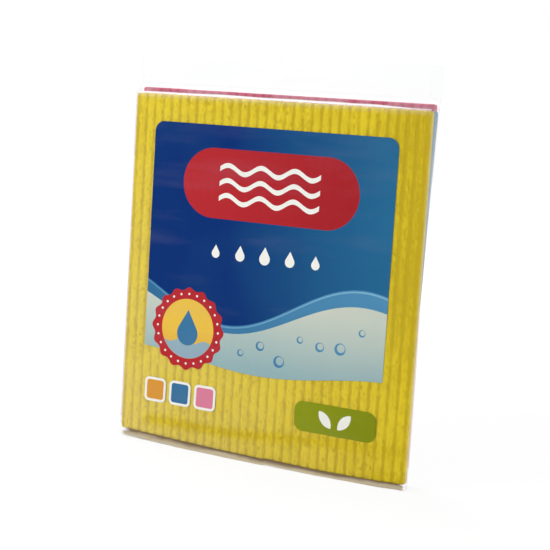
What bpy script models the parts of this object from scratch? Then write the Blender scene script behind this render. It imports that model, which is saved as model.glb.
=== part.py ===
"""A pack of three ribbed sponge cloths in printed clear film, standing on its lower edge.

Metres, +Z up. The front of the pack faces -Y, its width runs along X, and the
origin is at the middle of the bottom face. All outlines are written in X and Z,
as seen from the front.
"""

import math

import bmesh
import bpy
from mathutils import Matrix, Vector

# Cloth: one die-cut sheet of cellulose sponge with ribs cast along its height
CLOTH_WIDTH = 0.185
CLOTH_HEIGHT = 0.200
CLOTH_THICKNESS = 0.005
CLOTH_CORNER_RADIUS = 0.0015
RIB_PITCH = 0.00568
FRONT_GROOVE_DEPTH = 0.0008
BACK_GROOVE_DEPTH = 0.0004
POINTS_PER_RIB = 4

# Stack: how the three cloths lie behind each other
CLOTH_GAP = 0.0003
PINK_SHIFT = 0.0029
PINK_RAISE = 0.0035
PINK_LEAN = math.radians(0.8)
BLUE_LEAN = math.radians(1.1)

# Film: a sleeve round the stack, folded under below, with a flat header above
FILM_THICKNESS = 0.00015
FILM_GAP = 0.0003
FILM_INNER_RADIUS = 0.00045
FOOT_HEIGHT = 0.005
FOOT_INSET = 0.002
HEADER_HEIGHT = 0.017
HEADER_RISE = 0.003
HEADER_SLIT = 0.0003
HEADER_INNER_RADIUS = 0.00005
ARC_STEPS = 4

# Film folds that lie against the back
SEAM_WIDTH = 0.012
SEAM_OFFSET = 0.010
BOTTOM_FLAP_HEIGHT = 0.018
BOTTOM_FLAP_MARGIN = 0.004
BOTTOM_FLAP_RAISE = 0.0005
FOLD_THICKNESS = 0.00015
FOLD_CORNER_RADIUS = 0.001

# Print: layers of ink, each drawn thicker than real ink so that it stays a solid field
INK_STEP = 0.00006
INK_LAYERS = 5
PRINT_SIDE_MARGIN = 0.0155
PRINT_TOP_MARGIN = 0.0155
PRINT_CORNER_RADIUS = 0.006
PRINT_SHIFT = -0.0012
WAVE_LEVEL = 0.091
WAVE_RISE = 0.015
WAVE_LENGTH = 0.170
WAVE_SHIFT = 0.020
STRIPE_WIDTH = 0.006
STRIPE_OVERLAP = 0.0005
POOL_DEPTH = 0.031
POOL_RISE = 0.004
WAVE_STEPS = 28

# Shapes on the print, placed from its edges
PILL_WIDTH = 0.112
PILL_HEIGHT = 0.040
PILL_DROP = 0.033
LINE_LENGTH = 0.064
LINE_WIDTH = 0.0028
LINE_RISE = 0.0022
LINE_SPACING = 0.0085
DROP_RADIUS = 0.0034
DROP_SPACING = 0.016
DROP_ROW = 0.073
BADGE_RADIUS = 0.0235
BADGE_FACE_RADIUS = 0.0175
BADGE_INSET = 0.029
BADGE_LEVEL = 0.071
BUBBLE_RADIUS = 0.0034
BUBBLE_SPACING = 0.0125
SWATCH_SIZE = 0.0145
SWATCH_BORDER = 0.0015
SWATCH_SPACING = 0.017
SWATCH_INSET = 0.009
TAG_WIDTH = 0.050
TAG_HEIGHT = 0.017
TAG_INSET = 0.027
TAG_LEVEL = 0.032

# Colours of the cloths, the film and its inks
YELLOW_SPONGE = (0.70, 0.55, 0.045, 1.0)
BLUE_SPONGE = (0.17, 0.29, 0.48, 1.0)
PINK_SPONGE = (0.62, 0.16, 0.27, 1.0)
CLEAR = (0.90, 0.93, 0.95, 0.25)
NAVY = (0.012, 0.045, 0.19, 1.0)
MID_BLUE = (0.02, 0.16, 0.42, 1.0)
AQUA = (0.42, 0.66, 0.72, 1.0)
RED = (0.42, 0.018, 0.03, 1.0)
GREEN = (0.24, 0.32, 0.012, 1.0)
WHITE = (0.85, 0.85, 0.83, 1.0)
SUN_YELLOW = (0.80, 0.52, 0.04, 1.0)
ROSE = (0.66, 0.20, 0.32, 1.0)

# Places that follow from the sizes above
STACK_DEPTH = 3 * CLOTH_THICKNESS + 2 * CLOTH_GAP
BLUE_REACH = CLOTH_HEIGHT * math.tan(BLUE_LEAN)
PINK_REACH = PINK_SHIFT + CLOTH_HEIGHT * math.tan(PINK_LEAN)
LEFT_REACH = max(BLUE_REACH, PINK_REACH)
FILM_WALL = FILM_THICKNESS + FILM_GAP
INK_HEIGHT = INK_LAYERS * INK_STEP
FOLD_HEIGHT = 2 * FOLD_THICKNESS
FILM_DEPTH = STACK_DEPTH + 2 * FILM_WALL
FILM_FRONT = -(FILM_DEPTH + INK_HEIGHT + FOLD_HEIGHT) / 2 + INK_HEIGHT
FILM_BACK = FILM_FRONT + FILM_DEPTH
FILM_HALF_WIDTH = (CLOTH_WIDTH + LEFT_REACH) / 2 + FILM_WALL
CLOTH_BOTTOM = FOOT_HEIGHT + FILM_WALL
FLAP_BOTTOM = FOOT_HEIGHT + BOTTOM_FLAP_RAISE
YELLOW_X = LEFT_REACH / 2
PRINT_X = YELLOW_X + PRINT_SHIFT
PRINT_HALF_WIDTH = CLOTH_WIDTH / 2 - PRINT_SIDE_MARGIN
PRINT_TOP = CLOTH_BOTTOM + CLOTH_HEIGHT - PRINT_TOP_MARGIN


def clear_scene():
    for item in list(bpy.data.objects):
        bpy.data.objects.remove(item, do_unlink=True)


def new_collection(name):
    collection = bpy.data.collections.new(name)
    bpy.context.scene.collection.children.link(collection)
    return collection


def new_material(name, color, roughness):
    material = bpy.data.materials.new(name)
    material.use_nodes = True
    shader = material.node_tree.nodes["Principled BSDF"]
    shader.inputs["Base Color"].default_value = color
    shader.inputs["Alpha"].default_value = color[3]
    shader.inputs["Roughness"].default_value = roughness
    shader.inputs["Metallic"].default_value = 0.0
    return material


def new_object(name, mesh, collection, material):
    item = bpy.data.objects.new(name, mesh)
    mesh.materials.append(material)
    collection.objects.link(item)
    return item


def hide_cutter(item):
    item.hide_render = True
    item.display_type = "WIRE"
    return item


def prism_mesh(name, outline, low, high, axis):
    """A flat outline of (u, v) points, drawn out along Z or along Y from low to high."""
    shape = bmesh.new()
    if axis == "Z":
        corners = [shape.verts.new((u, v, low)) for u, v in outline]
        path = Vector((0, 0, high - low))
    else:
        corners = [shape.verts.new((u, low, v)) for u, v in outline]
        path = Vector((0, high - low, 0))
    base = shape.faces.new(corners)
    drawn = bmesh.ops.extrude_face_region(shape, geom=[base])
    moved = [part for part in drawn["geom"] if isinstance(part, bmesh.types.BMVert)]
    bmesh.ops.translate(shape, verts=moved, vec=path)
    bmesh.ops.recalc_face_normals(shape, faces=shape.faces)
    mesh = bpy.data.meshes.new(name)
    shape.to_mesh(mesh)
    shape.free()
    return mesh


# Outlines

def arc(center, radius, start, end, steps):
    """Points on an arc, angles in degrees, both ends included."""
    points = []
    for step in range(steps + 1):
        angle = math.radians(start + (end - start) * step / steps)
        points.append((center[0] + radius * math.cos(angle), center[1] + radius * math.sin(angle)))
    return points


def circle(center, radius, steps):
    return arc(center, radius, 0, 360, steps)[:-1]


def rounded_rectangle(center, width, height, radius, steps):
    reach_x = width / 2 - radius
    reach_z = height / 2 - radius
    points = []
    for turn, (side_x, side_z) in enumerate(((1, 1), (-1, 1), (-1, -1), (1, -1))):
        middle = (center[0] + side_x * reach_x, center[1] + side_z * reach_z)
        points += arc(middle, radius, 90 * turn, 90 * turn + 90, steps)
    return points


def turned(points, center, degrees):
    turn = Matrix.Rotation(math.radians(degrees), 2)
    middle = Vector(center)
    return [tuple(middle + turn @ (Vector(point) - middle)) for point in points]


def drop(center, radius, steps):
    """A water drop: most of a circle that runs up to a point two radii above the middle."""
    tip = (center[0], center[1] + 2 * radius)
    return arc(center, radius, 150, 390, steps) + [tip]


def leaf(center, length, width, degrees):
    """Two equal arcs that meet in points at both ends."""
    half = length / 2
    bulge = width / 2
    radius = (half * half + bulge * bulge) / (2 * bulge)
    reach = math.degrees(math.asin(half / radius))
    upper = arc((center[0], center[1] - radius + bulge), radius, 90 - reach, 90 + reach, 6)
    lower = arc((center[0], center[1] + radius - bulge), radius, 270 - reach, 270 + reach, 6)
    return turned(upper[:-1] + lower[:-1], center, degrees)


def scalloped_disc(center, radius, lobes, rise):
    points = []
    steps = 4 * lobes
    for step in range(steps):
        angle = 2 * math.pi * step / steps
        reach = radius + rise * math.cos(lobes * angle)
        points.append((center[0] + reach * math.cos(angle), center[1] + reach * math.sin(angle)))
    return points


def ribbon(center, length, width, rise, waves, steps):
    """A band with round-trip waves in it, of even height."""
    upper = []
    lower = []
    for step in range(steps + 1):
        share = step / steps
        x = center[0] + (share - 0.5) * length
        z = center[1] + rise * math.sin(2 * math.pi * waves * share)
        upper.append((x, z + width / 2))
        lower.append((x, z - width / 2))
    return upper + lower[::-1]


def wave_height(x):
    return WAVE_LEVEL + WAVE_RISE * math.sin(2 * math.pi * (x - WAVE_SHIFT) / WAVE_LENGTH)


def stripe_bottom(x):
    swell = 1 + 0.4 * math.sin(2 * math.pi * (x - WAVE_SHIFT) / WAVE_LENGTH)
    return wave_height(x) - STRIPE_WIDTH * swell


def pool_bottom(x):
    return WAVE_LEVEL - STRIPE_WIDTH - POOL_DEPTH - POOL_RISE * math.cos(2 * math.pi * x / WAVE_LENGTH)


def print_columns():
    """Even steps over the whole width of the print."""
    return [PRINT_HALF_WIDTH * (2 * step / WAVE_STEPS - 1) for step in range(WAVE_STEPS + 1)]


def band_outline(top, bottom, overlap=0.0):
    """The field between two curves over the whole width of the print, grown by an overlap."""
    upper = [(x, top(x) + overlap) for x in print_columns()]
    lower = [(x, bottom(x) - overlap) for x in reversed(print_columns())]
    return upper + lower


def navy_outline():
    """Straight on three sides with rounded upper corners, and a wave below."""
    reach = PRINT_HALF_WIDTH - PRINT_CORNER_RADIUS
    level = PRINT_TOP - PRINT_CORNER_RADIUS
    right = arc((reach, level), PRINT_CORNER_RADIUS, 0, 90, ARC_STEPS)
    left = arc((-reach, level), PRINT_CORNER_RADIUS, 90, 180, ARC_STEPS)
    return right + left + [(x, wave_height(x)) for x in print_columns()]


# Cloths

def groove(x, depth):
    """How far the surface lies below the rib crests: ribs are broad and round, grooves narrow."""
    phase = 0.5 + 0.5 * math.cos(2 * math.pi * x / RIB_PITCH)
    return depth * phase ** 2


def cloth_outline():
    """The ribbed section in X and Y, with the ribs centred on the width."""
    ribs = int(CLOTH_WIDTH / RIB_PITCH)
    edge = ribs * RIB_PITCH / 2
    count = ribs * POINTS_PER_RIB
    across = [-edge + ribs * RIB_PITCH * step / count for step in range(count + 1)]
    shift = 0 if ribs % 2 == 0 else RIB_PITCH / 2
    half_depth = CLOTH_THICKNESS / 2
    side = CLOTH_WIDTH / 2
    front = [(x, -half_depth + groove(x + shift, FRONT_GROOVE_DEPTH)) for x in across]
    back = [(x, half_depth - groove(x + shift, BACK_GROOVE_DEPTH)) for x in reversed(across)]
    front_y = front[0][1]
    back_y = back[0][1]
    return [(-side, front_y)] + front + [(side, front_y), (side, back_y)] + back + [(-side, back_y)]


def corner_cutter(cutters, material):
    """The plan outline of a cloth with its rounded corners, deeper than any cloth."""
    outline = rounded_rectangle((0, 0), CLOTH_WIDTH, CLOTH_HEIGHT, CLOTH_CORNER_RADIUS, ARC_STEPS)
    mesh = prism_mesh("corner_cutter", outline, -CLOTH_THICKNESS, CLOTH_THICKNESS, "Y")
    return hide_cutter(new_object("corner_cutter", mesh, cutters, material))


def add_cloth(name, color, place, lean, parts, cutters):
    """A cloth whose upright edges lean a little, while its upper and lower edges stay level."""
    material = new_material(name, color, 0.9)
    half_height = CLOTH_HEIGHT / 2
    mesh = prism_mesh(name, cloth_outline(), -half_height, half_height, "Z")
    cloth = new_object(name, mesh, parts, material)
    cutter = corner_cutter(cutters, material)
    skew = Matrix.Identity(4)
    skew[0][2] = math.tan(lean)
    for item in (cloth, cutter):
        item.data.transform(skew)
        item.location = place
    trim = cloth.modifiers.new("round_corners", "BOOLEAN")
    trim.operation = "INTERSECT"
    trim.solver = "EXACT"
    trim.object = cutter
    return cloth


def layer_y(layer):
    """The middle plane of a cloth, counted from the front."""
    step = CLOTH_THICKNESS + CLOTH_GAP
    return FILM_FRONT + FILM_WALL + CLOTH_THICKNESS / 2 + layer * step


def add_cloths(parts, cutters):
    level = CLOTH_BOTTOM + CLOTH_HEIGHT / 2
    blue_x = YELLOW_X - BLUE_REACH / 2
    pink_x = YELLOW_X - (PINK_SHIFT + PINK_REACH) / 2
    add_cloth("cloth_yellow", YELLOW_SPONGE, (YELLOW_X, layer_y(0), level), 0, parts, cutters)
    add_cloth("cloth_blue", BLUE_SPONGE, (blue_x, layer_y(1), level), BLUE_LEAN, parts, cutters)
    pink_place = (pink_x, layer_y(2), level + PINK_RAISE)
    add_cloth("cloth_pink", PINK_SPONGE, pink_place, PINK_LEAN, parts, cutters)


# Film

def film_ring(height, half_width, front, back, radius):
    """One level of the sleeve: a rounded rectangle in X and Y at a height."""
    center = (0, (front + back) / 2)
    outline = rounded_rectangle(center, 2 * half_width, back - front, radius, ARC_STEPS)
    return [(x, y, height) for x, y in outline]


def shoulder_levels():
    """Heights at which the film leaves the front cloths, clears the pink one and closes."""
    front_top = CLOTH_BOTTOM + CLOTH_HEIGHT + FILM_WALL
    pink_top = front_top + PINK_RAISE + FILM_WALL
    return front_top, pink_top, pink_top + HEADER_RISE


def foot_ring():
    """The film that is folded under the cloths stands in a little from the front and back."""
    front = FILM_FRONT + FOOT_INSET
    back = FILM_BACK - FOOT_INSET
    return film_ring(0.0, FILM_HALF_WIDTH, front, back, FILM_INNER_RADIUS + FILM_THICKNESS)


def sleeve_rings(inset):
    """The sleeve from under the cloths to the top of the flat header, set in from its outer skin."""
    front_top, pink_top, header_base = shoulder_levels()
    header_y = layer_y(2)
    header_half = HEADER_SLIT / 2 + FILM_THICKNESS
    header_radius = HEADER_INNER_RADIUS + FILM_THICKNESS
    body_radius = FILM_INNER_RADIUS + FILM_THICKNESS
    pink_front = layer_y(2) - CLOTH_THICKNESS / 2 - FILM_WALL
    header = (header_y - header_half, header_y + header_half, header_radius)
    levels = (
        (FOOT_HEIGHT + inset, FILM_FRONT, FILM_BACK, body_radius),
        (front_top - inset, FILM_FRONT, FILM_BACK, body_radius),
        (pink_top - inset, pink_front, FILM_BACK, body_radius),
        (header_base - inset, *header),
        (header_base + HEADER_HEIGHT, *header),
    )
    rings = []
    for height, front, back, radius in levels:
        ring = film_ring(height, FILM_HALF_WIDTH - inset, front + inset, back - inset, radius - inset)
        rings.append(ring)
    return rings


def loft(shape, rings):
    """Join rings of equally many corners into one skin, closed over the first ring."""
    levels = [[shape.verts.new(point) for point in ring] for ring in rings]
    shape.faces.new(levels[0])
    count = len(levels[0])
    for lower, upper in zip(levels, levels[1:]):
        for index in range(count):
            following = (index + 1) % count
            shape.faces.new((lower[index], lower[following], upper[following], upper[index]))
    return levels[-1]


def film_sleeve_mesh():
    """Outer and inner skin, joined round the slit at the top of the header."""
    shape = bmesh.new()
    outer = loft(shape, [foot_ring()] + sleeve_rings(0.0))
    inner = loft(shape, sleeve_rings(FILM_THICKNESS))
    count = len(outer)
    for index in range(count):
        following = (index + 1) % count
        shape.faces.new((outer[index], outer[following], inner[following], inner[index]))
    bmesh.ops.recalc_face_normals(shape, faces=shape.faces)
    mesh = bpy.data.meshes.new("film_wrap")
    shape.to_mesh(mesh)
    shape.free()
    return mesh


def back_fold(name, outline, layers, cutters, material):
    """A strip of doubled film that lies against the back."""
    inside = FILM_BACK - FILM_THICKNESS / 2
    mesh = prism_mesh(name, outline, inside, FILM_BACK + layers * FOLD_THICKNESS, "Y")
    return hide_cutter(new_object(name, mesh, cutters, material))


def add_back_folds(cutters, material):
    """The lap seam down the back, and the closed lower end folded up against the back."""
    seam_high = CLOTH_BOTTOM + CLOTH_HEIGHT
    middle = (SEAM_OFFSET, (FLAP_BOTTOM + seam_high) / 2)
    length = seam_high - FLAP_BOTTOM
    seam = rounded_rectangle(middle, SEAM_WIDTH, length, FOLD_CORNER_RADIUS, ARC_STEPS)
    back_fold("lap_seam", seam, 1, cutters, material)
    flap_width = 2 * (FILM_HALF_WIDTH - BOTTOM_FLAP_MARGIN)
    middle = (0, FLAP_BOTTOM + BOTTOM_FLAP_HEIGHT / 2)
    flap = rounded_rectangle(middle, flap_width, BOTTOM_FLAP_HEIGHT, FOLD_CORNER_RADIUS, ARC_STEPS)
    back_fold("bottom_flap", flap, 2, cutters, material)


# Print

def add_field(name, outline, layer, material, cutters):
    """A field of ink on the front: layer 1 lies on the film, higher ones on the ink below."""
    inside = FILM_FRONT + FILM_THICKNESS / 2
    placed = [(x + PRINT_X, z) for x, z in outline]
    mesh = prism_mesh(name, placed, FILM_FRONT - layer * INK_STEP, inside, "Y")
    return hide_cutter(new_object(name, mesh, cutters, material))


def add_large_fields(inks, cutters):
    """The navy field, the stripe along its wave, and the pale pool below."""
    add_field("navy_field", navy_outline(), 1, inks["navy"], cutters)
    add_field("aqua_pool", band_outline(stripe_bottom, pool_bottom), 1, inks["aqua"], cutters)
    stripe = band_outline(wave_height, stripe_bottom, STRIPE_OVERLAP)
    add_field("blue_stripe", stripe, 2, inks["blue"], cutters)


def add_pill(inks, cutters):
    """A red pill with three wavy lines, like the ribs of the cloth."""
    level = PRINT_TOP - PILL_DROP
    radius = 0.499 * PILL_HEIGHT
    pill = rounded_rectangle((0, level), PILL_WIDTH, PILL_HEIGHT, radius, 2 * ARC_STEPS)
    add_field("red_pill", pill, 2, inks["red"], cutters)
    for index in range(3):
        place = (0, level + LINE_SPACING * (index - 1))
        line = ribbon(place, LINE_LENGTH, LINE_WIDTH, LINE_RISE, 3, 36)
        add_field(f"white_line_{index}", line, 3, inks["white"], cutters)


def add_drops(inks, cutters):
    """A row of white drops under the pill, the middle one largest."""
    for index in range(5):
        radius = DROP_RADIUS * (1 - 0.12 * abs(index - 2))
        place = (DROP_SPACING * (index - 2), PRINT_TOP - DROP_ROW)
        add_field(f"white_drop_{index}", drop(place, radius, 10), 2, inks["white"], cutters)


def add_bubbles(inks, cutters):
    """Round bubbles with a pale inside, in the right part of the pool."""
    start = BADGE_INSET + BADGE_RADIUS - PRINT_HALF_WIDTH + BUBBLE_SPACING
    for index in range(7):
        x = start + BUBBLE_SPACING * index
        z = (stripe_bottom(x) + pool_bottom(x)) / 2 + 0.006 * math.sin(2.4 * index)
        radius = BUBBLE_RADIUS * (0.6 + 0.2 * (index % 3))
        inside = (x + 0.15 * radius, z + 0.15 * radius)
        add_field(f"bubble_{index}", circle((x, z), radius, 16), 2, inks["blue"], cutters)
        add_field(f"bubble_inside_{index}", circle(inside, 0.7 * radius, 12), 3, inks["aqua"], cutters)


def add_badge(inks, cutters):
    """A round badge with a scalloped rim and a drop in it."""
    center = (BADGE_INSET - PRINT_HALF_WIDTH, BADGE_LEVEL)
    add_field("badge_rim", scalloped_disc(center, BADGE_RADIUS, 16, 0.0009), 3, inks["red"], cutters)
    add_field("badge_face", circle(center, BADGE_FACE_RADIUS, 32), 4, inks["yellow"], cutters)
    radius = 0.4 * BADGE_FACE_RADIUS
    place = (center[0], center[1] - 0.4 * radius)
    add_field("badge_drop", drop(place, radius, 14), 5, inks["blue"], cutters)


def add_swatches(inks, cutters):
    """Three small squares in the colours of the cloths."""
    for index, ink in enumerate(("yellow", "blue", "rose")):
        center = (SWATCH_INSET - PRINT_HALF_WIDTH + SWATCH_SPACING * index, TAG_LEVEL)
        inner = SWATCH_SIZE - 2 * SWATCH_BORDER
        border = rounded_rectangle(center, SWATCH_SIZE, SWATCH_SIZE, 2 * SWATCH_BORDER, ARC_STEPS)
        swatch = rounded_rectangle(center, inner, inner, SWATCH_BORDER, ARC_STEPS)
        add_field(f"swatch_border_{index}", border, 1, inks["white"], cutters)
        add_field(f"swatch_{index}", swatch, 2, inks[ink], cutters)


def add_tag(inks, cutters):
    """A green tag with two leaves."""
    center = (PRINT_HALF_WIDTH - TAG_INSET, TAG_LEVEL)
    tag = rounded_rectangle(center, TAG_WIDTH, TAG_HEIGHT, 0.3 * TAG_HEIGHT, ARC_STEPS)
    add_field("green_tag", tag, 1, inks["green"], cutters)
    for side in (-1, 1):
        place = (center[0] + 0.35 * side * TAG_HEIGHT, center[1])
        blade = leaf(place, 0.7 * TAG_HEIGHT, 0.33 * TAG_HEIGHT, 90 - 40 * side)
        add_field(f"tag_leaf_{side + 1}", blade, 2, inks["white"], cutters)


def new_inks():
    colors = {
        "navy": NAVY, "blue": MID_BLUE, "aqua": AQUA, "red": RED,
        "green": GREEN, "white": WHITE, "yellow": SUN_YELLOW, "rose": ROSE,
    }
    return {name: new_material(f"ink_{name}", color, 0.35) for name, color in colors.items()}


def add_film(parts, cutters):
    clear = new_material("clear_film", CLEAR, 0.12)
    film = new_object("film_wrap", film_sleeve_mesh(), parts, clear)
    inks = new_inks()
    add_back_folds(cutters, clear)
    for add_shapes in (add_large_fields, add_pill, add_drops, add_bubbles, add_badge, add_swatches, add_tag):
        add_shapes(inks, cutters)
    fields = film.modifiers.new("folds_and_print", "BOOLEAN")
    fields.operation = "UNION"
    fields.solver = "EXACT"
    fields.operand_type = "COLLECTION"
    fields.collection = cutters
    fields.material_mode = "TRANSFER"
    return film


def main():
    clear_scene()
    parts = new_collection("sponge_cloth_pack")
    cloth_cutters = new_collection("cloth_cutters")
    film_fields = new_collection("film_fields")
    add_cloths(parts, cloth_cutters)
    add_film(parts, film_fields)


main()
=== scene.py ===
import math
from math import cos, pi, radians, sin, tan

import bmesh
import bpy
import numpy as np
from mathutils import Matrix, Vector, kdtree, noise
from mathutils.geometry import delaunay_2d_cdt


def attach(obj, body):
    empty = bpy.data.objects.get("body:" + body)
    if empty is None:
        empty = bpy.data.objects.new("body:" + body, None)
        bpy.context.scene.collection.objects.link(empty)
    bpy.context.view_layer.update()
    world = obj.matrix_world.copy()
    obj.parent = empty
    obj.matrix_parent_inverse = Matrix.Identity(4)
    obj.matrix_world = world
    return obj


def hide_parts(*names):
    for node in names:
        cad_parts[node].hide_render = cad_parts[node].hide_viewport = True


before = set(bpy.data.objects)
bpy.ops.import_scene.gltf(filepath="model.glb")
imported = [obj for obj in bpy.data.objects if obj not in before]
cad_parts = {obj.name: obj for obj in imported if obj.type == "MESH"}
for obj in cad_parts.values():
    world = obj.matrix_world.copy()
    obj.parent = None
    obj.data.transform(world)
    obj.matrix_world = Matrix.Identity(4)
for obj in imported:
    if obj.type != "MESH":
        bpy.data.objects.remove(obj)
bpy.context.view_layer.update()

# Everything is in metres, in the frame of the solids: the front faces -Y, +Z is up.

# Cloths, as in the solids
CLOTH_WIDTH = 0.185
CLOTH_HEIGHT = 0.200
CLOTH_THICKNESS = 0.005
CLOTH_CORNER_RADIUS = 0.0015
CLOTH_GAP = 0.0003
FOOT_HEIGHT = 0.005
CLOTH_BOTTOM = FOOT_HEIGHT + 0.00045
CLOTH_TOP = CLOTH_BOTTOM + CLOTH_HEIGHT
RIB_PITCH = 0.00568
PINK_SHIFT = 0.0029
PINK_RAISE = 0.0035
PINK_LEAN = tan(radians(0.8))
BLUE_LEAN = tan(radians(1.1))
PINK_REACH = PINK_SHIFT + CLOTH_HEIGHT * PINK_LEAN
YELLOW_X = PINK_REACH / 2
FRONT_CLOTH_Y = -0.0053

# Surface of a cloth
RIB_DEPTH = 0.00045
BACK_RIB_DEPTH = 0.0003
EDGE_ROUNDING = 0.0009
EDGE_SHARES = (0.0, 0.12, 0.4, 0.9)
EDGE_ROUGHNESS = 0.00018
SURFACE_ROUGHNESS = 0.00012
RIM_STEPS = 5
FINE_GRID = (6, 0.0022)  # points per rib and distance of rows, in all grids
COARSE_GRID = (4, 0.004)
YELLOW_SAG = 0.00195
YELLOW_SAG_SKEW = 0.25
YELLOW_DROP_LEFT = 0.0002
YELLOW_DROP_RIGHT = 0.0017
SAG_HEIGHT = 0.050

# Film: its distance from the cloths and the heights at which it turns
FILM_CLEARANCE = 0.00025
FILM_CORNER_RADIUS = 0.0008
SHOULDER_HEIGHT = CLOTH_TOP + 0.0016
PINK_TOP = CLOTH_TOP + PINK_RAISE + 0.0004
HEADER_BASE = PINK_TOP + 0.0033
HEADER_TOP = HEADER_BASE + 0.0168
HEADER_HALF_WIDTH = (CLOTH_WIDTH + PINK_REACH) / 2 + 0.0004
HEADER_SPACING = 0.0003
TUCK_DEPTH = 0.0075
TUCK_START = PINK_TOP + 0.0003
FILM_RIB_DIP = 0.00010
FILM_WRINKLE = 0.00018
SHOULDER_CRUMPLE = 0.0024
FOOT_CRUMPLE = 0.0005
FOOT_TUCK = 0.0010
FOLD_OVERLAP = 0.0005
FOOT_INSET = 0.0022
FOOT_SPREAD = 0.0022
BASE_LIFT = 0.00005
BASE_RIPPLE = 0.0022
BACK_FOOT_INSET = 0.0018

# Ends of the folded film, each with its rise and run, and its step near the middle
NOTCH_PLACE = 0.007
NOTCH_RISE = 0.0007
NOTCH_RUN = 0.035
NOTCH_STEP = 0.0006
FOLD_END_LEFT = (0.0012, 0.045)
FOLD_END_RIGHT = (0.0008, 0.012)

# Creases in the film
CREASE_DEPTH = 0.00012
CREASE_WIDTH = 0.0032
CORNER_CREASE_WIDTH = 0.0040
LONG_CREASE_LEVEL = 0.0085
LONG_CREASE_RISE = 0.0065
SHORT_CREASE_PLACE = -0.045
SHORT_CREASE_LEVEL = 0.030
SHORT_CREASE_SLOPE = 0.30
SHORT_CREASE_WIDTH = 0.0030
SHORT_CREASE_LENGTH = 0.022
RELIEF_FADE = 0.006

# Painted glare, painted highlight and painted reflection on the film, and its haze
GLARE_LOW = 0.0010
GLARE_HIGH = 0.0014
GLARE_WAVE = 0.0003
# Rim: painted highlight; left and low left: painted reflection; the others: haze
RIM_PAINTED_HIGHLIGHT = 1.6
EVEN_VEIL = 0.01
LEFT_PAINTED_REFLECTION = 0.18
LOW_LEFT_PAINTED_REFLECTION = 0.95
BACK_VEIL = 0.4
HEADER_VEIL = 0.02
BACK_FOLD_VEIL = 3.5

# Header and mesh of the film
HEADER_CRUMPLE = 0.0009
CRUMPLE_PLACE = 0.002
CRUMPLE_WIDTH = 0.02
SIDE_STEPS = 14
ARC_SHARES = (0.33, 0.67, 1.0)
FRONT_GRID = (6, 0.0015)
BACK_GRID = (4, 0.003)
OUTLINE_STEP = 0.0009
OUTLINE_CLEARANCE = 0.0003

# Folds of film on the back
SEAM_WIDTH = 0.012
SEAM_OFFSET = 0.010
SEAM_BOTTOM = FOOT_HEIGHT + 0.0005
SEAM_LIFT = 0.00012
SEAM_CRIMP = 0.0009
FLAP_HEIGHT = 0.018
FLAP_MARGIN = 0.004
FLAP_LIFT = 0.00026
FLAP_CRIMP = 0.0012

# Print, as in the solids
PRINT_SIDE_MARGIN = 0.0155
PRINT_TOP_MARGIN = 0.0155
PRINT_CORNER_RADIUS = 0.006
PRINT_X = YELLOW_X - 0.0012
WAVE_LEVEL = 0.091
WAVE_RISE = 0.015
WAVE_LENGTH = 0.170
WAVE_SHIFT = 0.020
PRINT_STEPS = 84
STRIPE_WIDTH = 0.006
STRIPE_OVERLAP = 0.0005
GLOW_START = 0.0002
GLOW_END = 0.0011
POOL_DEPTH = 0.031
POOL_RISE = 0.004
PILL_WIDTH = 0.112
PILL_HEIGHT = 0.040
PILL_DROP = 0.033
LINE_LENGTH = 0.064
LINE_WIDTH = 0.0028
LINE_RISE = 0.0022
LINE_SPACING = 0.0085
LINES = 3
DROPS = 5
DROP_RADIUS = 0.0034
DROP_SPACING = 0.016
DROP_ROW = 0.073
BADGE_RADIUS = 0.0235
BADGE_FACE_RADIUS = 0.0175
BADGE_INSET = 0.029
BADGE_LEVEL = 0.071
BADGE_LOBES = 16
BADGE_LOBE_RISE = 0.0009
BADGE_DOTS = 24
BADGE_DOT_RADIUS = 0.0007
RIPPLE_RISE = 0.0012
RIPPLE_STEPS = 24
BUBBLES = 7
BUBBLE_RADIUS = 0.0034
BUBBLE_SPACING = 0.0125
SWATCH_SIZE = 0.0145
SWATCH_BORDER = 0.0015
SWATCH_SPACING = 0.017
SWATCH_INSET = 0.009
TAG_WIDTH = 0.050
TAG_HEIGHT = 0.017
TAG_INSET = 0.027
TAG_LEVEL = 0.032
PRINT_REACH = CLOTH_WIDTH / 2 - PRINT_SIDE_MARGIN
PRINT_TOP = CLOTH_BOTTOM + CLOTH_HEIGHT - PRINT_TOP_MARGIN

# Colours, as light reflected in red, green and blue
# Each cloth has a crest colour and a darker one, used for painted shade in its grooves and pores and also
# for its uneven tone
YELLOW_CREST = (0.705, 0.545, 0.013, 1)
YELLOW_SHADED = (0.50, 0.36, 0.004, 1)
BLUE_CREST = (0.14, 0.28, 0.40, 1)
BLUE_SHADED = (0.07, 0.16, 0.28, 1)
PINK_CREST = (0.62, 0.10, 0.19, 1)
PINK_SHADED = (0.42, 0.04, 0.10, 1)
NAVY = (0.001, 0.025, 0.148, 1)
NAVY_LIGHT = (0.016, 0.125, 0.26, 1)
MID_BLUE = (0.028, 0.13, 0.27, 1)
MID_BLUE_LIGHT = (0.07, 0.24, 0.42, 1)
GLOW_BLUE = (0.20, 0.42, 0.58, 1)
AQUA = (0.26, 0.40, 0.42, 1)
AQUA_LIGHT = (0.52, 0.56, 0.48, 1)
RED = (0.43, 0.022, 0.028, 1)
RED_DARK = (0.33, 0.014, 0.020, 1)
GREEN = (0.235, 0.285, 0.008, 1)
GREEN_DARK = (0.20, 0.235, 0.006, 1)
WHITE = (0.78, 0.78, 0.73, 1)
SUN_YELLOW = (0.72, 0.46, 0.06, 1)
SUN_ORANGE = (0.62, 0.27, 0.03, 1)
WATER = (0.24, 0.33, 0.46, 1)
ROSE = (0.62, 0.19, 0.29, 1)
# Painted reflection in the print: faint lilac streaks of gloss
PAINTED_GLOSS_LILAC = (0.30, 0.27, 0.40, 1)
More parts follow.
